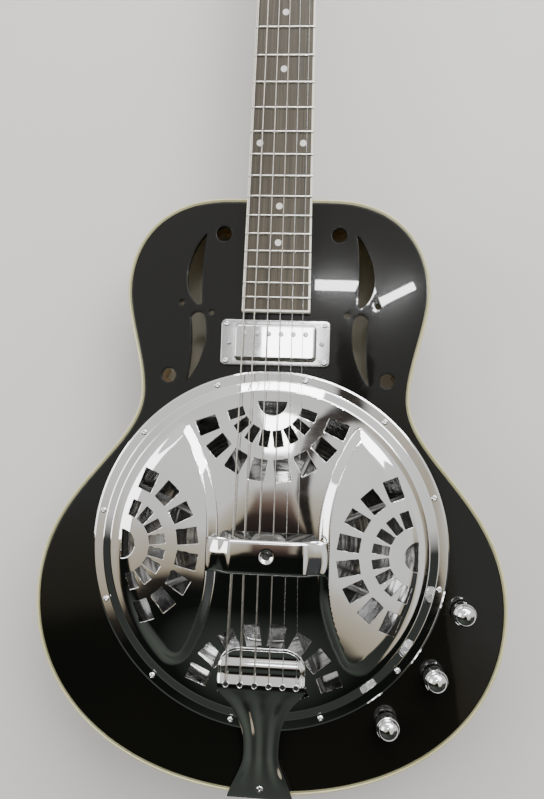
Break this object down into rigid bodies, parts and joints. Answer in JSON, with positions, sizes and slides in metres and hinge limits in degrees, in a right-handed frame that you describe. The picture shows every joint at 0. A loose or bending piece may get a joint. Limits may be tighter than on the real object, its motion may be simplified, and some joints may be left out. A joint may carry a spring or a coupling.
{
  "type": "resonator guitar",
  "caption": "Wood-bodied resonator guitar with a spider bridge under a pressed coverplate, one pickup, knobs on the top and a fretted neck.",
  "frame": {"origin": "on the back plate's outer face, straight below the middle of the saddle", "axes": "+Z out of the top, +Y along the strings to the headstock, +X to the treble side"},
  "size_m": [0.3927, 1.0495, 0.11],
  "materials": {
    "black_lacquer": "gloss black lacquer over laminated wood",
    "pale_wood": "bare wood",
    "neck_wood": "gloss black lacquer over solid wood",
    "rosewood": "open-pored, oiled",
    "maple": "bare",
    "cream_binding": "polished",
    "ivory_plastic": "polished",
    "black_plastic": "polished",
    "chrome": "mirror-bright",
    "spun_aluminium": "spun",
    "cast_aluminium": "as cast",
    "steel": "plated",
    "brass": "machined",
    "string_wire": "drawn wire"
  },
  "bodies": {
    "body": {"back_binding": "cream_binding", "back_lining": "pale_wood", "back_plate": "black_lacquer", "bass_rib": "black_lacquer", "bass_saddle": "maple", "bass_tuner_plate": "chrome", "blend_pot": "steel", "coverplate": "chrome", "end_pin": "chrome", "fretboard": "rosewood", "fretboard_binding": "cream_binding", "neck": "neck_wood", "neck_block": "pale_wood", "nut": "ivory_plastic", "output_jack": "chrome", "palm_rest": "chrome", "pickup": "chrome", "pickup_ring": "chrome", "resonator_cone": "spun_aluminium", "soundwell_ring": "pale_wood", "spider_bridge": "cast_aluminium", "string_1": "string_wire", "string_2": "string_wire", "string_3": "string_wire", "string_4": "string_wire", "string_5": "string_wire", "string_6": "string_wire", "tail_block": "pale_wood", "tailpiece": "chrome", "tension_screw": "steel", "tone_pot": "steel", "top_binding": "cream_binding", "top_lining": "pale_wood", "top_plate": "black_lacquer", "treble_rib": "black_lacquer", "treble_saddle": "maple", "treble_tuner_plate": "chrome", "truss_rod": "steel", "truss_rod_cover": "black_plastic", "volume_pot": "steel"},
    "volume_control": {"volume_knob": "chrome", "volume_shaft": "brass"},
    "blend_control": {"blend_knob": "chrome", "blend_shaft": "brass"},
    "tone_control": {"tone_knob": "chrome", "tone_shaft": "brass"},
    "bass_tuner_1_worm": {"bass_tuner_1": "chrome"},
    "bass_post_1_gear": {"bass_post_1": "chrome"},
    "bass_tuner_2_worm": {"bass_tuner_2": "chrome"},
    "bass_post_2_gear": {"bass_post_2": "chrome"},
    "bass_tuner_3_worm": {"bass_tuner_3": "chrome"},
    "bass_post_3_gear": {"bass_post_3": "chrome"},
    "treble_tuner_1_worm": {"treble_tuner_1": "chrome"},
    "treble_post_1_gear": {"treble_post_1": "chrome"},
    "treble_tuner_2_worm": {"treble_tuner_2": "chrome"},
    "treble_post_2_gear": {"treble_post_2": "chrome"},
    "treble_tuner_3_worm": {"treble_tuner_3": "chrome"},
    "treble_post_3_gear": {"treble_post_3": "chrome"}
  },
  "joints": [
    {"name": "volume_turn", "type": "hinge", "parent": "body", "child": "volume_control", "pos_m": [0.1574, -0.0425, 0.09], "axis": [0, 0, 1], "range_deg": [-150, 150]},
    {"name": "blend_turn", "type": "hinge", "parent": "body", "child": "blend_control", "pos_m": [0.1365, -0.095, 0.09], "axis": [0, 0, 1], "range_deg": [-150, 150]},
    {"name": "tone_turn", "type": "hinge", "parent": "body", "child": "tone_control", "pos_m": [0.1, -0.134, 0.09], "axis": [0, 0, 1], "range_deg": [-150, 150]},
    {"name": "bass_tuner_1_turn", "type": "hinge", "parent": "body", "child": "bass_tuner_1_worm", "pos_m": [-0.024, 0.70868, 0.05268], "axis": [-1, 0, 0], "continuous": true},
    {"name": "bass_post_1_turn", "type": "hinge", "parent": "body", "child": "bass_post_1_gear", "pos_m": [-0.024, 0.70452, 0.0736], "axis": [0, 0.2419, 0.9703], "continuous": true},
    {"name": "bass_tuner_2_turn", "type": "hinge", "parent": "body", "child": "bass_tuner_2_worm", "pos_m": [-0.024, 0.74749, 0.043], "axis": [-1, 0, 0], "continuous": true},
    {"name": "bass_post_2_turn", "type": "hinge", "parent": "body", "child": "bass_post_2_gear", "pos_m": [-0.024, 0.74333, 0.06393], "axis": [0, 0.2419, 0.9703], "continuous": true},
    {"name": "bass_tuner_3_turn", "type": "hinge", "parent": "body", "child": "bass_tuner_3_worm", "pos_m": [-0.024, 0.7863, 0.03332], "axis": [-1, 0, 0], "continuous": true},
    {"name": "bass_post_3_turn", "type": "hinge", "parent": "body", "child": "bass_post_3_gear", "pos_m": [-0.024, 0.78214, 0.05425], "axis": [0, 0.2419, 0.9703], "continuous": true},
    {"name": "treble_tuner_1_turn", "type": "hinge", "parent": "body", "child": "treble_tuner_1_worm", "pos_m": [0.024, 0.70868, 0.05268], "axis": [1, 0, 0], "continuous": true},
    {"name": "treble_post_1_turn", "type": "hinge", "parent": "body", "child": "treble_post_1_gear", "pos_m": [0.024, 0.70452, 0.0736], "axis": [0, 0.2419, 0.9703], "continuous": true},
    {"name": "treble_tuner_2_turn", "type": "hinge", "parent": "body", "child": "treble_tuner_2_worm", "pos_m": [0.024, 0.74749, 0.043], "axis": [1, 0, 0], "continuous": true},
    {"name": "treble_post_2_turn", "type": "hinge", "parent": "body", "child": "treble_post_2_gear", "pos_m": [0.024, 0.74333, 0.06393], "axis": [0, 0.2419, 0.9703], "continuous": true},
    {"name": "treble_tuner_3_turn", "type": "hinge", "parent": "body", "child": "treble_tuner_3_worm", "pos_m": [0.024, 0.7863, 0.03332], "axis": [1, 0, 0], "continuous": true},
    {"name": "treble_post_3_turn", "type": "hinge", "parent": "body", "child": "treble_post_3_gear", "pos_m": [0.024, 0.78214, 0.05425], "axis": [0, 0.2419, 0.9703], "continuous": true}
  ],
  "couplings": [
    {"joint": "bass_post_1_turn", "follows": "bass_tuner_1_turn", "ratio": 0.066667},
    {"joint": "bass_post_2_turn", "follows": "bass_tuner_2_turn", "ratio": 0.066667},
    {"joint": "bass_post_3_turn", "follows": "bass_tuner_3_turn", "ratio": 0.066667},
    {"joint": "treble_post_1_turn", "follows": "treble_tuner_1_turn", "ratio": -0.066667},
    {"joint": "treble_post_2_turn", "follows": "treble_tuner_2_turn", "ratio": -0.066667},
    {"joint": "treble_post_3_turn", "follows": "treble_tuner_3_turn", "ratio": -0.066667}
  ]
}
